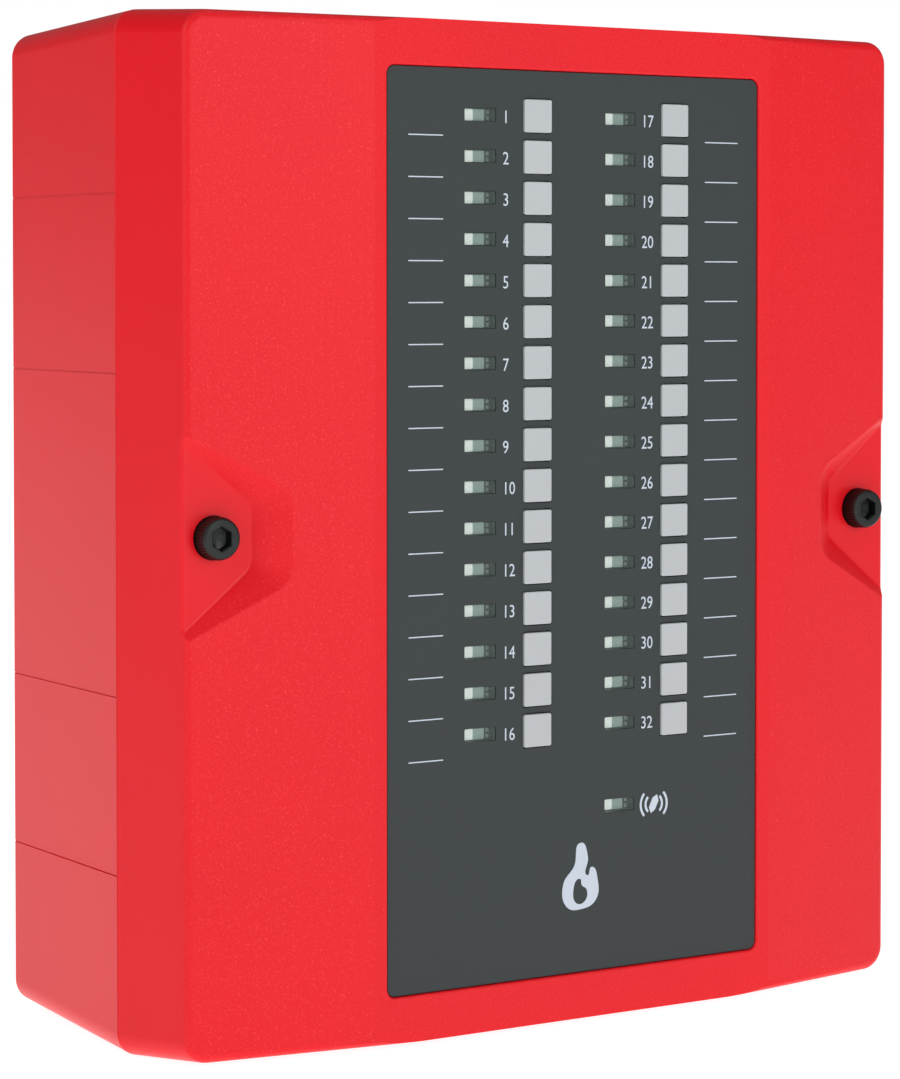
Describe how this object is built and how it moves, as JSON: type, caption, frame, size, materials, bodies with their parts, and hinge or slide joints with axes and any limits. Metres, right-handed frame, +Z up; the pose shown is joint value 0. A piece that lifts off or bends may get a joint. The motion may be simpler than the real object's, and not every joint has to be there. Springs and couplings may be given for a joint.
{
  "type": "fire alarm control panel",
  "caption": "Wall-mounted fire alarm control panel: a red two-part case with a dark keypad fascia, push keys, lamp windows and two recessed socket-head cover screws.",
  "frame": {"origin": "centre of the flat back face, which lies on the wall", "axes": "+Z up, +Y into the wall so the front looks along -Y, +X to the right of a person facing the panel"},
  "size_m": [0.2252, 0.09, 0.2476],
  "materials": {
    "red_case": "fine moulded grain, satin",
    "red_cover": "fine moulded grain, satin",
    "fascia": "fine-grained dark graphic sheet",
    "key_grey": "smooth satin",
    "lens_clear": "clear window",
    "lamp_white": "white lamp body",
    "black_steel": "black oxide",
    "zinc_steel": "bright zinc",
    "brass": "machined",
    "seal_rubber": "soft foam rubber",
    "board_green": "solder resist",
    "switch_black": "moulded",
    "part_black": "moulded packages",
    "terminal_green": "moulded",
    "power_parts": "mixed parts on a green board",
    "mains_grey": "moulded",
    "battery_case": "moulded",
    "strap_steel": "zinc plated",
    "lead_skin": "wire insulation",
    "ribbon_grey": "flat cable",
    "plug_black": "moulded",
    "plunger_white": "moulded"
  },
  "bodies": {
    "box": {"back_box": "red_case", "cover_seal": "seal_rubber", "thread_inserts": "brass", "main_board": "board_green", "board_parts": "part_black", "terminal_blocks": "terminal_green", "sounder": "switch_black", "board_screws": "zinc_steel", "power_supply": "power_parts", "mains_terminal": "mains_grey", "battery": "battery_case", "battery_strap": "strap_steel", "battery_leads": "lead_skin", "tamper_switch": "switch_black"},
    "cover": {"front_cover": "red_cover", "fascia_panel": "fascia", "window_lenses": "lens_clear", "indicator_lamps": "lamp_white", "tact_switches": "switch_black", "keypad_board": "board_green", "keypad_screws": "zinc_steel", "ribbon_cable": "ribbon_grey", "ribbon_plugs": "plug_black"},
    "washer_left": {"captive_washer_left": "zinc_steel"},
    "screw_left": {"cover_screw_left": "black_steel"},
    "washer_right": {"captive_washer_right": "zinc_steel"},
    "screw_right": {"cover_screw_right": "black_steel"},
    "tamper": {"tamper_plunger": "plunger_white"},
    "key_01": {"key_01": "key_grey"},
    "key_02": {"key_02": "key_grey"},
    "key_03": {"key_03": "key_grey"},
    "key_04": {"key_04": "key_grey"},
    "key_05": {"key_05": "key_grey"},
    "key_06": {"key_06": "key_grey"},
    "key_07": {"key_07": "key_grey"},
    "key_08": {"key_08": "key_grey"},
    "key_09": {"key_09": "key_grey"},
    "key_10": {"key_10": "key_grey"},
    "key_11": {"key_11": "key_grey"},
    "key_12": {"key_12": "key_grey"},
    "key_13": {"key_13": "key_grey"},
    "key_14": {"key_14": "key_grey"},
    "key_15": {"key_15": "key_grey"},
    "key_16": {"key_16": "key_grey"},
    "key_17": {"key_17": "key_grey"},
    "key_18": {"key_18": "key_grey"},
    "key_19": {"key_19": "key_grey"},
    "key_20": {"key_20": "key_grey"},
    "key_21": {"key_21": "key_grey"},
    "key_22": {"key_22": "key_grey"},
    "key_23": {"key_23": "key_grey"},
    "key_24": {"key_24": "key_grey"},
    "key_25": {"key_25": "key_grey"},
    "key_26": {"key_26": "key_grey"},
    "key_27": {"key_27": "key_grey"},
    "key_28": {"key_28": "key_grey"},
    "key_29": {"key_29": "key_grey"},
    "key_30": {"key_30": "key_grey"},
    "key_31": {"key_31": "key_grey"},
    "key_32": {"key_32": "key_grey"}
  },
  "joints": [
    {"name": "cover_lift", "type": "slide", "parent": "box", "child": "cover", "axis": [0, -1, 0], "range_m": [0, 0.11]},
    {"name": "screw_rise_left", "type": "slide", "parent": "cover", "child": "washer_left", "axis": [0, -1, 0], "range_m": [0, 0.0075]},
    {"name": "screw_turn_left", "type": "hinge", "parent": "washer_left", "child": "screw_left", "pos_m": [-0.0972, -0.0783, 0], "axis": [0, -1, 0], "range_deg": [0, 2700.1]},
    {"name": "screw_rise_right", "type": "slide", "parent": "cover", "child": "washer_right", "axis": [0, -1, 0], "range_m": [0, 0.0075]},
    {"name": "screw_turn_right", "type": "hinge", "parent": "washer_right", "child": "screw_right", "pos_m": [0.0972, -0.0783, 0], "axis": [0, -1, 0], "range_deg": [0, 2700.1]},
    {"name": "tamper_press", "type": "slide", "parent": "box", "child": "tamper", "axis": [0, 1, 0], "range_m": [0, 0.0015], "stiffness_N_per_m": 150},
    {"name": "key_01_press", "type": "slide", "parent": "cover", "child": "key_01", "axis": [0, 1, 0], "range_m": [0, 0.0005], "stiffness_N_per_m": 300},
    {"name": "key_02_press", "type": "slide", "parent": "cover", "child": "key_02", "axis": [0, 1, 0], "range_m": [0, 0.0005], "stiffness_N_per_m": 300},
    {"name": "key_03_press", "type": "slide", "parent": "cover", "child": "key_03", "axis": [0, 1, 0], "range_m": [0, 0.0005], "stiffness_N_per_m": 300},
    {"name": "key_04_press", "type": "slide", "parent": "cover", "child": "key_04", "axis": [0, 1, 0], "range_m": [0, 0.0005], "stiffness_N_per_m": 300},
    {"name": "key_05_press", "type": "slide", "parent": "cover", "child": "key_05", "axis": [0, 1, 0], "range_m": [0, 0.0005], "stiffness_N_per_m": 300},
    {"name": "key_06_press", "type": "slide", "parent": "cover", "child": "key_06", "axis": [0, 1, 0], "range_m": [0, 0.0005], "stiffness_N_per_m": 300},
    {"name": "key_07_press", "type": "slide", "parent": "cover", "child": "key_07", "axis": [0, 1, 0], "range_m": [0, 0.0005], "stiffness_N_per_m": 300},
    {"name": "key_08_press", "type": "slide", "parent": "cover", "child": "key_08", "axis": [0, 1, 0], "range_m": [0, 0.0005], "stiffness_N_per_m": 300},
    {"name": "key_09_press", "type": "slide", "parent": "cover", "child": "key_09", "axis": [0, 1, 0], "range_m": [0, 0.0005], "stiffness_N_per_m": 300},
    {"name": "key_10_press", "type": "slide", "parent": "cover", "child": "key_10", "axis": [0, 1, 0], "range_m": [0, 0.0005], "stiffness_N_per_m": 300},
    {"name": "key_11_press", "type": "slide", "parent": "cover", "child": "key_11", "axis": [0, 1, 0], "range_m": [0, 0.0005], "stiffness_N_per_m": 300},
    {"name": "key_12_press", "type": "slide", "parent": "cover", "child": "key_12", "axis": [0, 1, 0], "range_m": [0, 0.0005], "stiffness_N_per_m": 300},
    {"name": "key_13_press", "type": "slide", "parent": "cover", "child": "key_13", "axis": [0, 1, 0], "range_m": [0, 0.0005], "stiffness_N_per_m": 300},
    {"name": "key_14_press", "type": "slide", "parent": "cover", "child": "key_14", "axis": [0, 1, 0], "range_m": [0, 0.0005], "stiffness_N_per_m": 300},
    {"name": "key_15_press", "type": "slide", "parent": "cover", "child": "key_15", "axis": [0, 1, 0], "range_m": [0, 0.0005], "stiffness_N_per_m": 300},
    {"name": "key_16_press", "type": "slide", "parent": "cover", "child": "key_16", "axis": [0, 1, 0], "range_m": [0, 0.0005], "stiffness_N_per_m": 300},
    {"name": "key_17_press", "type": "slide", "parent": "cover", "child": "key_17", "axis": [0, 1, 0], "range_m": [0, 0.0005], "stiffness_N_per_m": 300},
    {"name": "key_18_press", "type": "slide", "parent": "cover", "child": "key_18", "axis": [0, 1, 0], "range_m": [0, 0.0005], "stiffness_N_per_m": 300},
    {"name": "key_19_press", "type": "slide", "parent": "cover", "child": "key_19", "axis": [0, 1, 0], "range_m": [0, 0.0005], "stiffness_N_per_m": 300},
    {"name": "key_20_press", "type": "slide", "parent": "cover", "child": "key_20", "axis": [0, 1, 0], "range_m": [0, 0.0005], "stiffness_N_per_m": 300},
    {"name": "key_21_press", "type": "slide", "parent": "cover", "child": "key_21", "axis": [0, 1, 0], "range_m": [0, 0.0005], "stiffness_N_per_m": 300},
    {"name": "key_22_press", "type": "slide", "parent": "cover", "child": "key_22", "axis": [0, 1, 0], "range_m": [0, 0.0005], "stiffness_N_per_m": 300},
    {"name": "key_23_press", "type": "slide", "parent": "cover", "child": "key_23", "axis": [0, 1, 0], "range_m": [0, 0.0005], "stiffness_N_per_m": 300},
    {"name": "key_24_press", "type": "slide", "parent": "cover", "child": "key_24", "axis": [0, 1, 0], "range_m": [0, 0.0005], "stiffness_N_per_m": 300},
    {"name": "key_25_press", "type": "slide", "parent": "cover", "child": "key_25", "axis": [0, 1, 0], "range_m": [0, 0.0005], "stiffness_N_per_m": 300},
    {"name": "key_26_press", "type": "slide", "parent": "cover", "child": "key_26", "axis": [0, 1, 0], "range_m": [0, 0.0005], "stiffness_N_per_m": 300},
    {"name": "key_27_press", "type": "slide", "parent": "cover", "child": "key_27", "axis": [0, 1, 0], "range_m": [0, 0.0005], "stiffness_N_per_m": 300},
    {"name": "key_28_press", "type": "slide", "parent": "cover", "child": "key_28", "axis": [0, 1, 0], "range_m": [0, 0.0005], "stiffness_N_per_m": 300},
    {"name": "key_29_press", "type": "slide", "parent": "cover", "child": "key_29", "axis": [0, 1, 0], "range_m": [0, 0.0005], "stiffness_N_per_m": 300},
    {"name": "key_30_press", "type": "slide", "parent": "cover", "child": "key_30", "axis": [0, 1, 0], "range_m": [0, 0.0005], "stiffness_N_per_m": 300},
    {"name": "key_31_press", "type": "slide", "parent": "cover", "child": "key_31", "axis": [0, 1, 0], "range_m": [0, 0.0005], "stiffness_N_per_m": 300},
    {"name": "key_32_press", "type": "slide", "parent": "cover", "child": "key_32", "axis": [0, 1, 0], "range_m": [0, 0.0005], "stiffness_N_per_m": 300}
  ],
  "couplings": [
    {"joint": "screw_turn_left", "follows": "screw_rise_left", "rad_per_m": 6283.2},
    {"joint": "screw_turn_right", "follows": "screw_rise_right", "rad_per_m": 6283.2}
  ]
}
